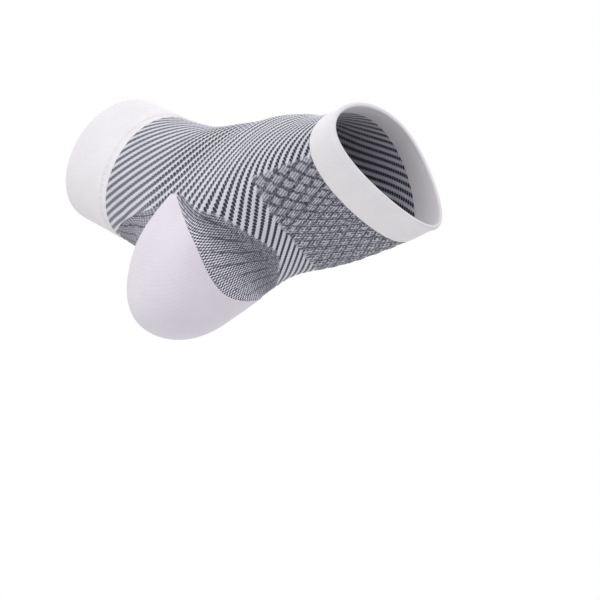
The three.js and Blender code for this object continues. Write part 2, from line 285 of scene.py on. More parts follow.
def four_weights(t):
    """Weights of four even values for a smooth curve between the second and the third."""
    return (
        -0.5 * t + t ** 2 - 0.5 * t ** 3,
        1 - 2.5 * t ** 2 + 1.5 * t ** 3,
        0.5 * t + 2 * t ** 2 - 1.5 * t ** 3,
        -0.5 * t ** 2 + 0.5 * t ** 3,
    )


def with_ends(table):
    """A table with one more row at each end, in line with the two rows next to it."""
    return np.vstack([2 * table[0] - table[1], table, 2 * table[-1] - table[-2]])


def section_at(row):
    """Every column of the section table at any rows."""
    table = with_ends(SECTIONS)
    start = np.clip(np.floor(row), 0, LAST_ROW - 1).astype(int)
    weights = four_weights(row - start)
    values = sum(w[..., None] * table[start + k] for k, w in enumerate(weights))
    return {name: values[..., k] for k, name in enumerate(SECTION_COLUMNS)}


def skin(row, degrees):
    """Points of the outer surface, in millimetres."""
    s = section_at(row)
    sine = np.sin(np.radians(degrees))
    cosine = np.cos(np.radians(degrees))
    roll = np.radians(s["roll"])
    depth_x = s["front_x"] - s["back_x"]
    depth_z = s["front_z"] - s["back_z"]
    forward = (1 - cosine) / 2 - s["low"] * sine ** 2
    width = np.where(sine >= 0, s["inner_width"], s["outer_width"])
    pear = np.where(sine >= 0, s["inner_pear"], s["outer_pear"])
    side = width * sine * (1 + pear * cosine)
    lean = side * np.sin(roll) / np.hypot(depth_x, depth_z)
    return np.stack([
        s["back_x"] + depth_x * forward + depth_z * lean,
        s["shift"] - side * np.cos(roll),
        s["back_z"] + depth_z * forward - depth_x * lean,
    ], -1)


def slopes(row, degrees):
    """How the outer surface goes along a row and round a degree, in millimetres."""
    row_step = 0.01
    degree_step = 0.5
    along = skin(row + row_step, degrees) - skin(row - row_step, degrees)
    around = skin(row, degrees + degree_step) - skin(row, degrees - degree_step)
    return along / (2 * row_step), around / (2 * degree_step)


def raised(row, degrees, height):
    """Points above the outer surface by a height, in millimetres."""
    along, around = slopes(row, degrees)
    normal = np.cross(along, around)
    normal /= np.linalg.norm(normal, axis=-1, keepdims=True)
    return skin(row, degrees) + normal * height[..., None]


def wrapped(degrees):
    """The same angle between -180 and 180."""
    return (degrees + 180) % 360 - 180


def eased(x):
    """A smooth rise from 0 to 1 as x goes from 0 to 1."""
    x = np.clip(x, 0, 1)
    return x * x * (3 - 2 * x)


def middle_line(row, degrees):
    """Length along the bent middle line, in millimetres, and an unbroken angle round it."""
    points = skin(row, degrees)
    half = (FOOT_SLOPE - LEG_SLOPE) / 2
    mean = (FOOT_SLOPE + LEG_SLOPE) / 2
    radius = BEND_TANGENT / np.tan(half)
    centre = BEND_POINT + np.array([-np.sin(mean), np.cos(mean)]) * radius / np.cos(half)
    x = points[..., 0] - centre[0]
    z = points[..., 2] - centre[1]
    turn = np.arctan2(x, -z)
    length = radius * (np.clip(turn, LEG_SLOPE, FOOT_SLOPE) - LEG_SLOPE)
    depth = radius - np.hypot(x, z)
    for slope, past in ((LEG_SLOPE, turn < LEG_SLOPE), (FOOT_SLOPE, turn > FOOT_SLOPE)):
        straight = radius * (slope - LEG_SLOPE) + x * np.cos(slope) + z * np.sin(slope)
        length = np.where(past, straight, length)
        depth = np.where(past, radius - x * np.sin(slope) + z * np.cos(slope), depth)
    sideways = np.interp(length, SIDE_SHIFT["length"], SIDE_SHIFT["sideways"])
    angle = np.degrees(np.arctan2(sideways - points[..., 1], -depth))
    return length, degrees + wrapped(angle - degrees)


def hump(pull, length):
    """Stripes added by a pull that rises and falls along the middle line."""
    return pull["stripes"] * np.exp(-((length - pull["length"]) / pull["span"]) ** 2)


def stripe_number(row, degrees):
    """Stripes passed at a place: whole numbers are the middles of the white stripes."""
    length, angle = middle_line(row, degrees)
    turn = np.radians(angle)
    front_lead = hump(INSTEP_LEAD, length) - SOLE_LEAD
    passed = STRIPES_AT_ANKLE + STRIPES_PER_MM * length + hump(CUFF_CROWD, length)
    passed = passed - front_lead * np.cos(turn) - OUTER_LEAD * np.sin(turn)
    return STRIPES_ROUND * angle / 360 - passed


def course_number(row, degrees):
    """Courses passed at a place of the striped knit."""
    length, angle = middle_line(row, degrees)
    passed = np.interp(length, COURSES["length"], COURSES["passed"])
    return passed + COURSES_ROUND * angle / 360


def knit_place(zone, row, degrees):
    """The two numbers that a zone's material draws its knit by."""
    if zone == TUBE:
        return stripe_number(row, degrees), course_number(row, degrees)
    length, angle = middle_line(row, degrees)
    return tuple(repeat["turn"] * angle / 360 + repeat["mm"] * length for repeat in REPEATS[zone])


def bent(edge, share):
    """Row of an edge that goes from its middle to its corners by a power of the angle's share."""
    return edge["middle"] + (edge["corner"] - edge["middle"]) * share ** edge["bend"]


def bowed(edge, share):
    """Row of an edge that leaves its middle flat and bows to its corners."""
    left = np.clip(1 - share ** edge["bend"], 0, 1)
    return edge["corner"] + (edge["middle"] - edge["corner"]) * left ** (1 / edge["fullness"])


def arch_edge(degrees):
    """The arch's front edge, which leans back towards the outer side."""
    turn = np.clip(degrees / HEEL_CORNER, -1, 1)
    return bowed(ARCH_FRONT, np.abs(turn)) - ARCH_FRONT["lean"] * (1 - turn ** 2) * (1 - turn) / 2


def pad_edges(row, degrees):
    """The pad's rear edge at an angle, and the angle of its side edges at a row."""
    away = (degrees - PAD_REAR["crest_angle"]) / PAD_REAR["fall_angle"]
    rear = PAD_REAR["crest"] - PAD_REAR["fall"] * away ** 2
    run = (row - PAD_REAR["crest"]) / (TOE_BASE_ROW - PAD_REAR["crest"])
    return rear, PAD_REAR["angle"] + (PAD_FRONT_ANGLE - PAD_REAR["angle"]) * run


def zone_of(row, degrees):
    """Which knitted zone each place belongs to."""
    angle = np.abs(degrees)
    share = np.minimum(angle / HEEL_CORNER, 1)
    inside = angle < HEEL_CORNER
    heel_rear = bent(HEEL_REAR, share)
    heel_front = bowed(HEEL_FRONT, share)
    gore_share = angle / GORE_TOP["angle"]
    gore_top = bent(GORE_TOP, gore_share)
    pad_rear, pad_side = pad_edges(row, degrees)
    zone = np.full(row.shape, TUBE)
    zone[(angle < pad_side) & (row > pad_rear)] = PAD
    zone[(gore_share < 1) & (row > gore_top) & (row < heel_rear)] = GORE
    zone[inside & (row > heel_front) & (row < arch_edge(degrees))] = ARCH
    zone[inside & (row > heel_rear) & (row < heel_front)] = HEEL
    return zone


def line_groove(x):
    """1 on whole numbers, falling quickly to both sides."""
    return np.exp(LINE_SHARPNESS * (np.cos(2 * np.pi * x) - 1))


def heights(zone, row, degrees):
    """Relief of a zone's outer face, in millimetres."""
    first, second = knit_place(zone, row, degrees)
    if zone == TUBE:
        return RIB_HEIGHT * (0.5 + 0.5 * np.cos(2 * np.pi * first)) - RIB_SINK
    if zone == HEEL:
        return np.full(row.shape, HEEL_RISE)
    if zone == PAD:
        crown = 0.5 + 0.25 * (np.cos(2 * np.pi * first) + np.cos(2 * np.pi * second))
        return CELL_HEIGHT * eased(crown) - CELL_SINK
    if zone == ARCH:
        return -LINE_DEPTH * line_groove(ARCH_LINE["first"] * first + ARCH_LINE["second"] * second)
    return -LINE_DEPTH * line_groove(first)


def zone_fade(zone, row, degrees):
    """What changes gradually on a zone: 0 to 1, and down to -1 towards the cuff on the striped tube."""
    if zone == TUBE:
        length, angle = middle_line(row, degrees)
        near_cuff = eased((TIGHT_UNTIL - length) / TIGHT_SPAN)
        at_sole = eased((SOLE_ANGLE - np.abs(wrapped(angle))) / SOLE_SPAN) * eased(length / SOLE_LENGTH - 1)
        on_foot = FOOT_JOINED * eased((length - FOOT_START) / FOOT_SPAN)
        return np.maximum(at_sole, on_foot) - near_cuff
    if zone == ARCH:
        share = np.minimum(np.abs(degrees) / HEEL_CORNER, 1)
        rear = bowed(HEEL_FRONT, share)
        front = arch_edge(degrees)
        return np.clip((row - rear) / np.maximum(front - rear, THINNEST_ARCH), 0, 1)
    if zone == PAD:
        return np.clip((PAD_CLEAR_ANGLE - degrees) / PAD_FADE_SPAN, 0, 1)
    return np.zeros(row.shape)


def zone_tips(zone, row, degrees):
    """1 where the end of a white stripe runs into a panel, and 0 elsewhere."""
    if zone not in (ARCH, PAD):
        return np.zeros(row.shape)
    along, around = slopes(row, degrees)
    row_length = np.linalg.norm(along, axis=-1)
    degree_length = np.linalg.norm(around, axis=-1)
    if zone == ARCH:
        depth = (arch_edge(degrees) - row) * row_length
    else:
        pad_rear, pad_side = pad_edges(row, degrees)
        depth = np.minimum((row - pad_rear) * row_length, (pad_side - np.abs(degrees)) * degree_length)
    reach = TIP_LENGTH * np.cos(2 * np.pi * stripe_number(row, degrees))
    return eased((reach - depth) / TIP_SOFTNESS) * eased((degrees - TIP_LAST_ANGLE) / TIP_ANGLE_SPAN)


def grid_rows():
    """Row numbers of the outer face's grid, closer where the rows lie further apart."""
    stops = np.append(np.arange(CUFF_FOOT_ROW, TOE_BASE_ROW), TOE_BASE_ROW)
    rows = [stops[:1]]
    for low, high in zip(stops[:-1], stops[1:]):
        ends = skin(np.array([[low], [high]]), np.array([[0.0, 180.0]]))
        longest = np.linalg.norm(ends[1] - ends[0], axis=-1).max()
        blocks = max(int(round(longest / BLOCK)), 1)
        rows.append(np.linspace(low, high, blocks * SPLIT + 1)[1:])
    return np.concatenate(rows)


def no_pinches(zone):
    """Zones of the blocks, changed where two blocks of a zone touch at a corner only."""
    for _ in range(PINCH_PASSES):
        upper = zone[:-1]
        lower = zone[1:]
        upper_next = np.roll(upper, -1, 1)
        lower_next = np.roll(lower, -1, 1)
        falling = (upper == lower_next) & (upper != upper_next) & (upper != lower)
        rising = (upper_next == lower) & (upper_next != upper) & (upper_next != lower_next)
        lower[falling | rising] = upper[falling | rising]
    return zone


def edge_points(fine, row, degrees):
    """The grid with its points between two zones moved from the blocks' steps to the zones' edges."""
    before = np.roll(fine, 1, 1)
    cells = np.stack([fine[:-1], fine[1:], before[:-1], before[1:]])
    low = cells.min(0)
    high = cells.max(0)
    u, v = np.nonzero((low != high) & np.all((cells == low) | (cells == high), 0))
    low = low[u, v][:, None]
    high = high[u, v][:, None]
    is_high = cells[:, u, v].T == high
    many = is_high.sum(1)
    aim = []
    for offset in (np.array([-1, 1, -1, 1]), np.array([1, 1, -1, -1])):
        towards = (is_high * offset).sum(1) / many
        aim.append(towards - (~is_high * offset).sum(1) / (4 - many))
    u += 1
    row_aim = aim[0] * (row[u + 1, v] - row[u - 1, v]) / 2
    degree_aim = aim[1] * 360 / (BLOCKS_ROUND * SPLIT)
    reach = np.linspace(-EDGE_REACH, EDGE_REACH, EDGE_SAMPLES)
    tried_rows = row[u, v][:, None] + row_aim[:, None] * reach
    tried_degrees = degrees[u, v][:, None] + degree_aim[:, None] * reach
    zone = zone_of(tried_rows, tried_degrees)
    share = (zone == high).mean(1)
    found = np.all((zone == low) | (zone == high), 1) & (share > 0) & (share < 1)
    move = np.where(found, EDGE_REACH * (1 - 2 * share), 0)
    row = row.copy()
    degrees = degrees.copy()
    row[u, v] += row_aim * move
    degrees[u, v] += degree_aim * move
    return row, degrees


def smooth_borders(zones, row, degrees):
    """The grid with its points between two zones on the zones' edges, evenly spaced."""
    fine = np.repeat(np.repeat(zones, SPLIT, 0), SPLIT, 1)
    row, degrees = edge_points(fine, row, degrees)
    no_row = np.zeros((1, fine.shape[1]), bool)
    along = fine != np.roll(fine, 1, 1)
    across = np.vstack([no_row, fine[1:] != fine[:-1], no_row])
    links = (
        (np.vstack([along, no_row]), (-1, 0)),
        (np.vstack([no_row, along]), (1, 0)),
        (across, (0, -1)),
        (np.roll(across, 1, 1), (0, 1)),
    )
    simple = sum(linked.astype(int) for linked, _ in links) == 2
    for _ in range(BORDER_PASSES):
        moved = []
        for grid in (row, degrees):
            near = sum(np.where(linked, np.roll(grid, shift, (0, 1)), 0) for linked, shift in links)
            moved.append(np.where(simple, grid / 2 + near / 4, grid))
        row, degrees = moved
    return row, degrees


def mesh_object(name, points, polygons, uv_of_point, fade, tips, uv_turn):
    """A smooth mesh object. uv_turn is what a full turn round the sleeve adds to the two coordinates."""
    mesh = bpy.data.meshes.new(name)
    mesh.from_pydata((points * MM).tolist(), [], polygons)
    corners = np.zeros(len(mesh.loops), int)
    mesh.loops.foreach_get("vertex_index", corners)
    uv = uv_of_point[corners]
    start = np.zeros(len(mesh.polygons), int)
    total = np.zeros(len(mesh.polygons), int)
    mesh.polygons.foreach_get("loop_start", start)
    mesh.polygons.foreach_get("loop_total", total)
    owner = np.repeat(np.arange(len(total)), total)
    highest = np.maximum.reduceat(uv[:, 0], start)[owner]
    uv += np.where((highest - uv[:, 0] > uv_turn[0] / 2)[:, None], uv_turn, 0)
    layer = mesh.uv_layers.new(name="Knit")
    layer.data.foreach_set("uv", uv.astype(np.float32).ravel())
    layer.active_render = True
    for attribute_name, values in (("fade", fade), ("tips", tips)):
        attribute = mesh.attributes.new(attribute_name, "FLOAT", "POINT")
        attribute.data.foreach_set("value", values.astype(np.float32))
    mesh.polygons.foreach_set("use_smooth", np.ones(len(mesh.polygons), bool))
    mesh.set_sharp_from_angle(angle=np.radians(SHARP_EDGE))
    mesh.update()
    obj = bpy.data.objects.new(name, mesh)
    bpy.context.scene.collection.objects.link(obj)
    return obj


def edge_wall(outer_id, inner_id, start, end):
    """One face of the wall along a block's free side."""
    face = []
    for k in range(SPLIT + 1):
        u = start[0] * SPLIT + (end[0] - start[0]) * k
        v = start[1] * SPLIT + (end[1] - start[1]) * k
        face.append(int(outer_id[u, v % outer_id.shape[1]]))
    for u, v in (end, start):
        face.append(int(inner_id[u, v % inner_id.shape[1]]))
    return face


def pulled(points, outer, border):
    """Points with a piece's border drawn a little towards its own faces, clear of its neighbours."""
    centres = points[outer].mean(1)
    total = np.zeros_like(points)
    count = np.zeros(len(points))
    for corner in outer.T:
        np.add.at(total, corner, centres)
        np.add.at(count, corner, 1)
    chosen = border[count[border] > 0]
    points[chosen] += EDGE_PULL * (total[chosen] / count[chosen][:, None] - points[chosen])
    return points


def zone_piece(zone, zones, row, degrees):
    """A closed wall over the blocks of one zone."""
    mask = zones == zone
    blocks_v = mask.shape[1]
    fine = np.repeat(np.repeat(mask, SPLIT, 0), SPLIT, 1)
    outer_id = np.arange(row.size).reshape(row.shape)
    inner_id = outer_id[::SPLIT, ::SPLIT] + row.size
    u, v = np.nonzero(fine)
    w = (v + 1) % row.shape[1]
    outer = np.stack([outer_id[u, v], outer_id[u + 1, v], outer_id[u + 1, w], outer_id[u, w]], 1)
    u, v = np.nonzero(mask)
    w = (v + 1) % blocks_v
    inner = np.stack([inner_id[u, v], inner_id[u, w], inner_id[u + 1, w], inner_id[u + 1, v]], 1)
    empty = np.zeros((1, blocks_v), bool)
    padded = np.vstack([empty, mask, empty])
    sides = (
        (padded[:-2], (0, 0), (0, 1)),
        (padded[2:], (1, 1), (1, 0)),
        (np.roll(mask, 1, 1), (1, 0), (0, 0)),
        (np.roll(mask, -1, 1), (0, 1), (1, 1)),
    )
    walls = []
    for neighbour, start, end in sides:
        for u, v in zip(*np.nonzero(mask & ~neighbour)):
            corners = (u + start[0], v + start[1]), (u + end[0], v + end[1])
            walls.append(edge_wall(outer_id, inner_id, *corners))
    top = raised(row, degrees, heights(zone, row, degrees)).reshape(-1, 3)
    low = raised(row, degrees, np.full(row.shape, -KNIT_WALL)).reshape(-1, 3)
    points = pulled(np.vstack([top, low]), outer, np.unique(np.concatenate(walls)))
    uv = np.stack([place.ravel() for place in knit_place(zone, row, degrees)], 1)
    fade = zone_fade(zone, row, degrees).ravel()
    tips = zone_tips(zone, row, degrees).ravel()
    polygons = outer.tolist() + inner.tolist() + walls
    used = np.unique(np.concatenate(polygons))
    new = np.zeros(len(points), int)
    new[used] = np.arange(len(used))
    lists = [new[p].tolist() for p in polygons]
    at = used % row.size
    turn = (STRIPES_ROUND, COURSES_ROUND)  # only the striped tube goes all the way round
    return mesh_object(ZONE_NAMES[zone], points[used], lists, uv[at], fade[at], tips[at], turn)


def welt_piece(name, row_of, stations, ripple):
    """A closed band: stations are distance and height of its section, all the way round the wall."""
    degrees = np.arange(-180.0, 180.0, WELT_DEGREES)
    distance = np.array([s[0] for s in stations])
    height = np.array([s[1] for s in stations])
    rows, angles = np.meshgrid(row_of(distance), degrees, indexing="ij")
    outside = (height > -KNIT_WALL)[:, None]
    relief = height[:, None] + np.where(outside, ripple(distance[:, None], angles), 0)
    points = raised(rows, angles, relief).reshape(-1, 3)
    ids = np.arange(points.shape[0]).reshape(rows.shape)
    after = np.roll(ids, -1, 0)
    polygons = np.stack([ids, after, np.roll(after, -1, 1), np.roll(ids, -1, 1)], -1).reshape(-1, 4)
    across = np.repeat(distance[:, None], len(degrees), 1).ravel()
    uv = np.stack([WELT_WALES * angles.ravel() / 360, across / WELT_COURSE], 1)
    flat = np.zeros(len(points))
    return mesh_object(name, points, polygons.tolist(), uv, flat, flat, (WELT_WALES, 0))


def rim_arc(at, inwards, outside, inside):
    """Half a circle over a rim, from the outer face to the inner one."""
    radius = (outside - inside) / 2
    middle = (outside + inside) / 2
    turn = np.linspace(0, np.pi, RIM_POINTS)
    return [(at + inwards * radius * (1 - np.sin(t)), middle + radius * np.cos(t)) for t in turn]


def cuff_stations():
    """Section of the ankle welt, along the inside from its foot, over the rim and down the outside."""
    end = CUFF_HEIGHT - SEAM_GAP / 2
    step = CUFF_HEIGHT - CUFF_STRIP
    outer = []
    for at in np.arange(end, WELT_STEP, -WELT_SPACING):
        outer.append((at, CUFF_RISE * eased((step + WELT_STEP - at) / WELT_STEP)))
    rim = rim_arc(0, 1, CUFF_RISE, -KNIT_WALL)
    inner = [(at, -KNIT_WALL) for at in np.append(np.arange(INNER_SPACING, end, INNER_SPACING), end)]
    return (outer + rim + inner)[::-1]


def toe_stations():
    """Section of the toe welt, from its base over the rolled rim and back along the inside."""
    start = SEAM_GAP / 2
    outer = []
    for at in np.arange(start, TOE_WIDTH - WELT_STEP / 2, WELT_SPACING):
        roll = np.sin(np.pi * np.clip((TOE_WIDTH - at) / TOE_BEAD_WIDTH, 0, 1))
        outer.append((at, TOE_RISE * eased((at - start) / WELT_STEP) + TOE_BEAD * roll))
    rim = rim_arc(TOE_WIDTH, -1, TOE_RISE + TOE_RIM_RISE, -KNIT_WALL)
    back = np.append(np.arange(TOE_WIDTH - INNER_SPACING, start, -INNER_SPACING), start)
    inner = [(at, -KNIT_WALL) for at in back]
    return outer + rim + inner


def cuff_ripple(distance, degrees):
    """The puckered ridge where the ankle welt's fold is sewn down."""
    turn = np.radians(degrees)
    middle = CUFF_HEIGHT - CUFF_STRIP + RIDGE_OFFSET
    near = np.exp(-((distance - middle) / RIDGE_WIDTH) ** 2)
    pucker = np.cos(PUCKERS_ROUND * turn + PUCKER_DRIFT * np.sin(PUCKER_WAVES * turn))
    return RIDGE_HEIGHT * near * (1 - PUCKER_SHARE + PUCKER_SHARE * pucker)


def no_ripple(distance, degrees):
    """The toe welt is smooth."""
    return np.zeros(np.broadcast(distance, degrees).shape)


class Knit:
    """Builds one material's nodes."""

    def __init__(self, name, sheen):
        self.material = bpy.data.materials.new(name)
        self.material.use_nodes = True
        self.tree = self.material.node_tree
        self.shader = self.tree.nodes["Principled BSDF"]
        self.shader.inputs["Roughness"].default_value = YARN_ROUGHNESS
        self.shader.inputs["Sheen Weight"].default_value = sheen
        self.shader.inputs["Sheen Roughness"].default_value = SHEEN_ROUGHNESS
        self.shader.inputs["Specular IOR Level"].default_value = YARN_SPECULAR
        uv = self.tree.nodes.new("ShaderNodeUVMap")
        uv.uv_map = "Knit"
        split = self.tree.nodes.new("ShaderNodeSeparateXYZ")
        self.tree.links.new(uv.outputs[0], split.inputs[0])
        self.x = split.outputs[0]
        self.y = split.outputs[1]
        self.place = self.tree.nodes.new("ShaderNodeTexCoord").outputs["Object"]

    def put(self, socket, value):
        """Links a socket to another one, or sets its value."""
        if isinstance(value, bpy.types.NodeSocket):
            self.tree.links.new(value, socket)
        else:
            socket.default_value = value

    def math(self, operation, *values):
        node = self.tree.nodes.new("ShaderNodeMath")
        node.operation = operation
        for k, value in enumerate(values):
            self.put(node.inputs[k], value)
        return node.outputs[0]

    def add(self, a, b):
        return self.math("ADD", a, b)

    def less(self, a, b):
        return self.math("SUBTRACT", a, b)

    def times(self, a, b):
        return self.math("MULTIPLY", a, b)

    def step(self, value, low, high, to_low=0.0, to_high=1.0):
        """A smooth change from to_low to to_high as value goes from low to high."""
        node = self.tree.nodes.new("ShaderNodeMapRange")
        node.interpolation_type = "SMOOTHSTEP"
        for k, v in enumerate((value, low, high, to_low, to_high)):
            self.put(node.inputs[k], v)
        return node.outputs[0]

    def centred(self, value):
        """Distance from the middle between two whole numbers, 0 to 0.5."""
        return self.math("ABSOLUTE", self.less(self.math("FRACT", value), 0.5))

    def wave(self, value):
        """1 on whole numbers and -1 between them."""
        return self.math("COSINE", self.times(value, 2 * np.pi))

    def attribute(self, name):
        node = self.tree.nodes.new("ShaderNodeAttribute")
        node.attribute_name = name
        return node.outputs["Fac"]

    def noise(self, size, detail=1.0):
        """Noise between about -0.5 and 0.5, with features of a size in millimetres."""
        node = self.tree.nodes.new("ShaderNodeTexNoise")
        node.inputs["Scale"].default_value = 1 / (size * MM)
        node.inputs["Detail"].default_value = detail
        self.tree.links.new(self.place, node.inputs["Vector"])
        return self.less(node.outputs["Fac"], 0.5)

    def rough(self, grain):
        """Noise of a grain's size and strength."""
        return self.times(self.noise(grain["size"]), grain["strength"])

    def mix(self, factor, a, b):
        """Colour a where the factor is 0 and colour b where it is 1."""
        first_colour = 6
        second_colour = 7
        mixed_colour = 2
        node = self.tree.nodes.new("ShaderNodeMix")
        node.data_type = "RGBA"
        self.put(node.inputs[0], factor)
        self.put(node.inputs[first_colour], a)
        self.put(node.inputs[second_colour], b)
        return node.outputs[mixed_colour]

    def finish(self, colour, height, depth):
        """Colour and a bump whose full height is depth millimetres."""
        self.put(self.shader.inputs["Base Color"], colour)
        bump = self.tree.nodes.new("ShaderNodeBump")
        bump.inputs["Distance"].default_value = depth * MM
        self.put(bump.inputs["Height"], height)
        self.tree.links.new(bump.outputs[0], self.shader.inputs["Normal"])
        return self.material


def striped_knit():
    """White ribs with painted shade between their courses, and dark lines of small stitches, which run
    together where the knit is tight.
    """
    k = Knit("striped_knit", sheen=0.4)
    fade = k.attribute("fade")
    joined = k.math("ABSOLUTE", fade)
    by_cuff = k.step(fade, 0.0, -1.0)
    from_course = k.centred(k.y)
    across = k.centred(k.x)
    half_width = k.step(joined, 0.0, 1.0, SINGLE_STITCH["width"], JOINED_STITCH["width"])
    half_width = k.less(half_width, k.step(fade, 0.0, FOOT_JOINED, 0.0, FOOT_SLIMMING))
    half_length = k.step(joined, 0.0, 1.0, SINGLE_STITCH["length"], JOINED_STITCH["length"])
    wide = k.math("POWER", k.math("DIVIDE", across, half_width), 2.0)
    long = k.math("POWER", k.math("DIVIDE", from_course, half_length), 2.0)
    reach = k.add(k.add(wide, long), k.rough(STITCH_FRAY))
    dark = k.step(reach, *STITCH_EDGE)
    # Painted shade between two courses of a white rib; the cloud below is the yarn's own uneven tone
    joint_shade = k.step(from_course, *RIB_JOINT_SHADE["edge"])
    pale = k.mix(k.times(joint_shade, RIB_JOINT_SHADE["strength"]), RIB_WHITE, RIB_SHADE)
    cloud = k.step(k.noise(RIB_CLOUD["size"]), *RIB_CLOUD["edge"], 0.0, RIB_CLOUD["strength"])
    pale = k.mix(cloud, pale, RIB_SHADE)
    colour = k.mix(dark, pale, k.mix(by_cuff, DARK_YARN, THIN_YARN))
    loop = k.times(k.less(0.5, from_course), LOOP_BULGE)
    return k.finish(colour, k.less(loop, k.times(dark, STITCH_DENT)), STRIPED_BUMP)


def basket_grey_knit():
    """Pale cells with fine ribs between dark gaps, fading to an even mix on the outer side."""
    k = Knit("basket_grey_knit", sheen=0.15)
    even = k.attribute("fade")
    bend = k.rough(CELL_WOBBLE)
    crown = k.math("MINIMUM", k.wave(k.add(k.x, bend)), k.wave(k.less(k.y, bend)))
    crown = k.add(crown, k.rough(CELL_FRAY))
    cell = k.step(crown, *CELL_EDGE)
    evened = k.step(even, 0.1, 0.9, 0.0, CELL_EVENED["strength"])
    cell = k.add(cell, k.times(k.less(CELL_EVENED["level"], cell), evened))
    coarseness = k.step(even, 0.0, 1.0, RIB_GRAIN["when_clear"], RIB_GRAIN["when_even"])
    grain = k.times(k.noise(RIB_GRAIN["size"], detail=0.0), coarseness)
    ribs = k.wave(k.times(k.x, CELL_RIBS["per_cell"]))
    ribs = k.times(ribs, k.step(even, 0.2, 0.8, 1.0, CELL_RIBS["when_even"]))
    per_cell = CELL_TICKS["per_cell"]
    ticks = k.add(k.wave(k.times(k.x, per_cell)), k.wave(k.times(k.y, per_cell)))
    ribs = k.add(ribs, k.times(ticks, k.step(even, 0.1, 0.7, 0.0, CELL_TICKS["when_even"])))
    rib = k.step(k.add(ribs, grain), *RIB_EDGE)
    rib = k.add(k.times(k.less(rib, 0.5), k.step(even, 0.0, 0.6, RIB_CONTRAST, 1.0)), 0.5)
    inside = k.mix(rib, TICK_GREY, PALE_GREY)
    gap = k.mix(k.step(k.noise(GAP_SPECKS["size"]), *GAP_SPECKS["edge"]), DARK_YARN, GAP_GREY)
    colour = k.mix(cell, gap, inside)
    colour = k.mix(k.attribute("tips"), colour, RIB_WHITE)
    return k.finish(colour, k.add(cell, k.times(rib, RIB_RELIEF)), BASKET_BUMP)


def arch_lines(k, even):
    """How dark the arch's long lines are, which start a little in front of the heel."""
    place = k.add(k.times(k.x, ARCH_LINE["first"]), k.times(k.y, ARCH_LINE["second"]))
    wobble = k.add(k.noise(ARCH_LINE_WOBBLE["long"]), k.noise(ARCH_LINE_WOBBLE["short"]))
    place = k.add(place, k.times(wobble, ARCH_LINE_WOBBLE["strength"]))
    line = k.step(k.wave(place), *ARCH_LINE_EDGE)
    begun = k.add(even, k.noise(ARCH_LINE_START["size"]))
    line = k.times(line, k.step(begun, *ARCH_LINE_START["edge"], 0.0, ARCH_LINE_START["strength"]))
    stitch = k.add(k.wave(k.x), k.rough(ARCH_STITCH_FRAY))
    line = k.times(line, k.step(stitch, *ARCH_STITCH["edge"], ARCH_STITCH["weakest"], 1.0))
    return k.times(line, k.step(even, *ARCH_LINE_END))


def fine_grey_knit():
    """Dark and white dots by the heel, fading forwards to a fine mix, with dark lines along the foot."""
    k = Knit("fine_grey_knit", sheen=0.15)
    even = k.attribute("fade")
    dots = k.add(k.wave(k.x), k.wave(k.y))
    contrast = k.step(even, 0.1, 0.8, DOT_CONTRAST["by_heel"], DOT_CONTRAST["forwards"])
    dark = k.step(k.add(k.times(dots, contrast), k.rough(DOT_FRAY)), *DOT_EDGE)
    pale = k.mix(k.step(even, 0.1, 0.7), DOT_WHITE, ARCH_GREY)
    darkest = k.math("MAXIMUM", k.times(dark, DOT_DARKNESS), arch_lines(k, even))
    colour = k.mix(darkest, pale, DARK_YARN)
    colour = k.mix(k.attribute("tips"), colour, RIB_WHITE)
    return k.finish(colour, k.less(1.0, dark), FINE_BUMP)


def sheer_grey_knit():
    """Light grey grid of fine ticks with a jagged dark line about every five millimetres."""
    k = Knit("sheer_grey_knit", sheen=0.15)
    line = k.step(k.wave(k.add(k.x, k.rough(GORE_WOBBLE))), *GORE_LINE["edge"])
    tick = k.step(k.add(k.wave(k.y), k.noise(GORE_TICK["size"])), *GORE_TICK["edge"])
    row = k.step(k.wave(k.times(k.x, GORE_ROW["per_line"])), *GORE_ROW["edge"])
    dark = k.math("MAXIMUM", k.times(tick, GORE_TICK["strength"]), k.times(row, GORE_ROW["strength"]))
    dark = k.math("MAXIMUM", dark, k.times(line, GORE_LINE["strength"]))
    colour = k.mix(dark, SHEER_GREY, DARK_YARN)
    return k.finish(colour, k.less(1.0, dark), SHEER_BUMP)


def white_knit(name, white, shade, visible, depth):
    """Plain white knit: columns of small loops, faintly shaded between them."""
    k = Knit(name, sheen=0.2)
    across = k.centred(k.x)
    along = k.centred(k.add(k.y, k.times(across, LOOP_SLANT)))
    ends = k.times(k.step(along, *LOOP_END["edge"]), LOOP_END["strength"])
    groove = k.math("MAXIMUM", k.step(across, *LOOP_SIDE_EDGE), ends)
    patches = k.noise(LOOP_PATCHES["size"], CLOUD_DETAIL)
    patchy = k.step(patches, *LOOP_PATCHES["edge"], LOOP_PATCHES["weakest"], 1.0)
    clouds = k.noise(WHITE_CLOUD["size"], CLOUD_DETAIL)
    cloud = k.step(clouds, *WHITE_CLOUD["edge"], 0.0, WHITE_CLOUD["strength"])
    colour = k.mix(k.add(k.times(k.times(groove, patchy), visible), cloud), white, shade)
    return k.finish(colour, k.less(1.0, groove), depth)


def knit_materials():
    """Every material by its slot."""
    return {
        "striped_knit": striped_knit(),
        "basket_grey_knit": basket_grey_knit(),
        "fine_grey_knit": fine_grey_knit(),
        "sheer_grey_knit": sheer_grey_knit(),
        "white_heel_knit": white_knit("white_heel_knit", HEEL_WHITE, HEEL_SHADE, visible=0.08, depth=0.05),
        "white_welt": white_knit("white_welt", WELT_WHITE, WELT_SHADE, visible=0.4, depth=0.1),
    }


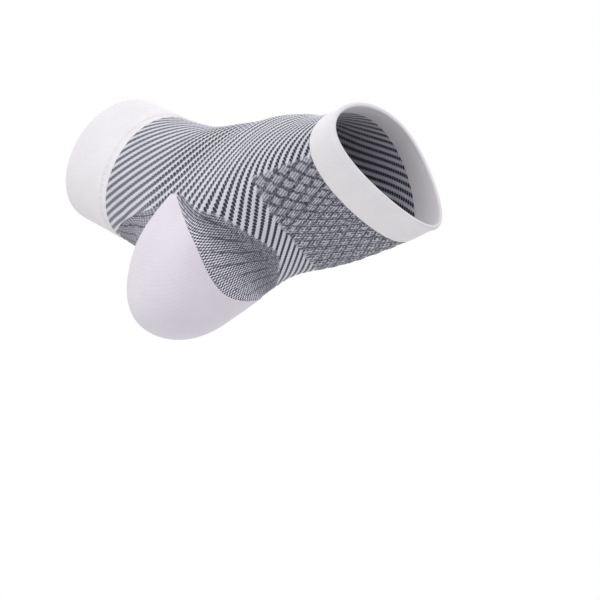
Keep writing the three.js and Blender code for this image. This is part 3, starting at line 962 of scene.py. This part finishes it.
def zone_grid():
    """Zone of each block, and row and angle of each point of the outer face."""
    row_line = grid_rows()
    degrees_line = np.arange(-180.0, 180.0, 360 / (BLOCKS_ROUND * SPLIT))
    row, degrees = np.meshgrid(row_line, degrees_line, indexing="ij")
    middle_row = (row_line[:-1:SPLIT] + row_line[SPLIT::SPLIT]) / 2
    middle_degrees = degrees_line[::SPLIT] + 180 / BLOCKS_ROUND
    zones = no_pinches(zone_of(*np.meshgrid(middle_row, middle_degrees, indexing="ij")))
    row, degrees = smooth_borders(zones, row, degrees)
    return zones, row, degrees


def cuff_row(distance):
    rows_per_mm = CUFF_FOOT_ROW / CUFF_HEIGHT
    return distance * rows_per_mm


def toe_row(distance):
    rows_per_mm = (LAST_ROW - TOE_BASE_ROW) / TOE_WIDTH
    return TOE_BASE_ROW + distance * rows_per_mm


def build_sleeve():
    """All seven pieces with their materials."""
    materials = knit_materials()
    zones, row, degrees = zone_grid()
    pieces = [zone_piece(zone, zones, row, degrees) for zone in range(len(ZONE_NAMES))]
    pieces.append(welt_piece("ankle_cuff", cuff_row, cuff_stations(), cuff_ripple))
    pieces.append(welt_piece("toe_band", toe_row, toe_stations(), no_ripple))
    for piece in pieces:
        node = piece.name.split(".")[0]
        piece.name = node + "_knit"
        piece.data.materials.append(materials[SLOTS[node]])
        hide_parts(node)
        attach(piece, "root")


def viewpoint():
    """Right, up and back directions of the camera."""
    a = np.radians(AZIMUTH)
    e = np.radians(ELEVATION)
    r = np.radians(ROLL)
    back = np.array([np.sin(a) * np.cos(e), -np.cos(a) * np.cos(e), np.sin(e)])
    level = np.array([np.cos(a), np.sin(a), 0])
    above = np.cross(back, level)
    return np.cos(r) * level + np.sin(r) * above, np.cos(r) * above - np.sin(r) * level, back


def add_camera():
    """The photograph's camera, placed so that the origin shows at its pixel."""
    right, up, back = viewpoint()
    across = (FRAME_PIXELS / 2 - ORIGIN_PIXEL[0]) / PIXELS_PER_MM * MM
    rise = (ORIGIN_PIXEL[1] - FRAME_PIXELS / 2) / PIXELS_PER_MM * MM
    place = across * right + rise * up + DISTANCE * back
    data = bpy.data.cameras.new("camera")
    data.sensor_width = SENSOR_WIDTH
    data.lens = PIXELS_PER_MM / MM * DISTANCE / FRAME_PIXELS * SENSOR_WIDTH
    data.clip_end = CLIP_END
    camera = bpy.data.objects.new("camera", data)
    turn = Matrix(np.stack([right, up, back], 1).tolist())
    camera.matrix_world = Matrix.Translation(Vector(place)) @ turn.to_4x4()
    bpy.context.scene.collection.objects.link(camera)
    bpy.context.scene.camera = camera


def add_light(name, place, size, power):
    """A soft square light that faces the sleeve."""
    data = bpy.data.lights.new(name, "AREA")
    data.shape = "SQUARE"
    data.size = size
    data.energy = power
    light = bpy.data.objects.new(name, data)
    light.location = place
    light.rotation_euler = (-Vector(place)).to_track_quat("-Z", "Y").to_euler()
    bpy.context.scene.collection.objects.link(light)


def add_lights():
    """A key light beside the camera, a light from above and an even white world."""
    right, up, back = viewpoint()
    key_place = KEY_PLACE["back"] * back + KEY_PLACE["right"] * right + KEY_PLACE["up"] * up
    add_light("key", tuple(key_place), **KEY_LIGHT)
    add_light("top", TOP_PLACE, **TOP_LIGHT)
    world = bpy.data.worlds.new("studio")
    world.use_nodes = True
    sky = world.node_tree.nodes["Background"]
    sky.inputs["Color"].default_value = (1, 1, 1, 1)
    sky.inputs["Strength"].default_value = WORLD_LIGHT
    bpy.context.scene.world = world
    bpy.context.scene.view_settings.view_transform = "Standard"


def add_floor():
    """A pale floor well below the sleeve."""
    mesh = bpy.data.meshes.new("floor")
    sides = ((-1, -1), (1, -1), (1, 1), (-1, 1))
    corners = [(FLOOR_HALF * x, FLOOR_HALF * y, FLOOR_HEIGHT) for x, y in sides]
    mesh.from_pydata(corners, [], [(0, 1, 2, 3)])
    floor = bpy.data.objects.new("floor", mesh)
    pale = bpy.data.materials.new("floor")
    pale.use_nodes = True
    shader = pale.node_tree.nodes["Principled BSDF"]
    shader.inputs["Base Color"].default_value = FLOOR_COLOUR
    shader.inputs["Roughness"].default_value = FLOOR_ROUGHNESS
    mesh.materials.append(pale)
    bpy.context.scene.collection.objects.link(floor)


build_sleeve()
add_camera()
add_lights()
add_floor()
